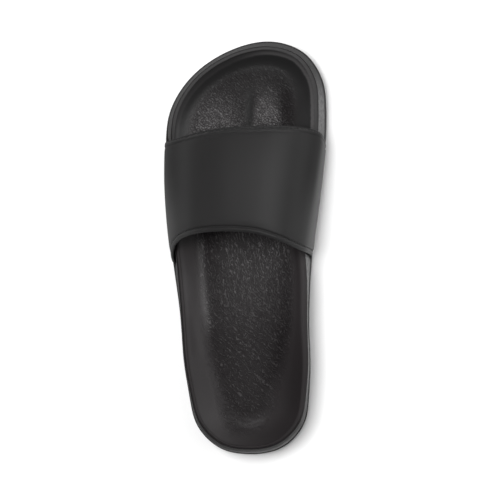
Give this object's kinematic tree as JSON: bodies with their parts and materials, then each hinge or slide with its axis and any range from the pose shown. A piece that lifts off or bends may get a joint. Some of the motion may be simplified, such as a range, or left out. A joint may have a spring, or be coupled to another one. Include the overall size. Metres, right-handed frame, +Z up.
{
  "type": "beach slide sandal",
  "caption": "Open-toe, open-heel slide sandal with a wide padded strap over the forefoot, a contoured footbed and a flared moulded sole.",
  "frame": {"origin": "middle of the bounding box on the floor that the sole stands on", "axes": "+Y from heel to toe, +X to the big-toe side, +Z up"},
  "size_m": [0.1091, 0.2756, 0.0733],
  "materials": {
    "sole": "matt moulded foam rubber with a finely roughened side wall",
    "footbed": "matt moulded foam with a pebbled leather grain and a smooth lip",
    "strap": "smooth satin coated fabric in leather style, stitched along both long edges"
  },
  "bodies": {
    "root": {"sole": "sole", "footbed": "footbed", "strap": "strap"}
  },
  "joints": []
}
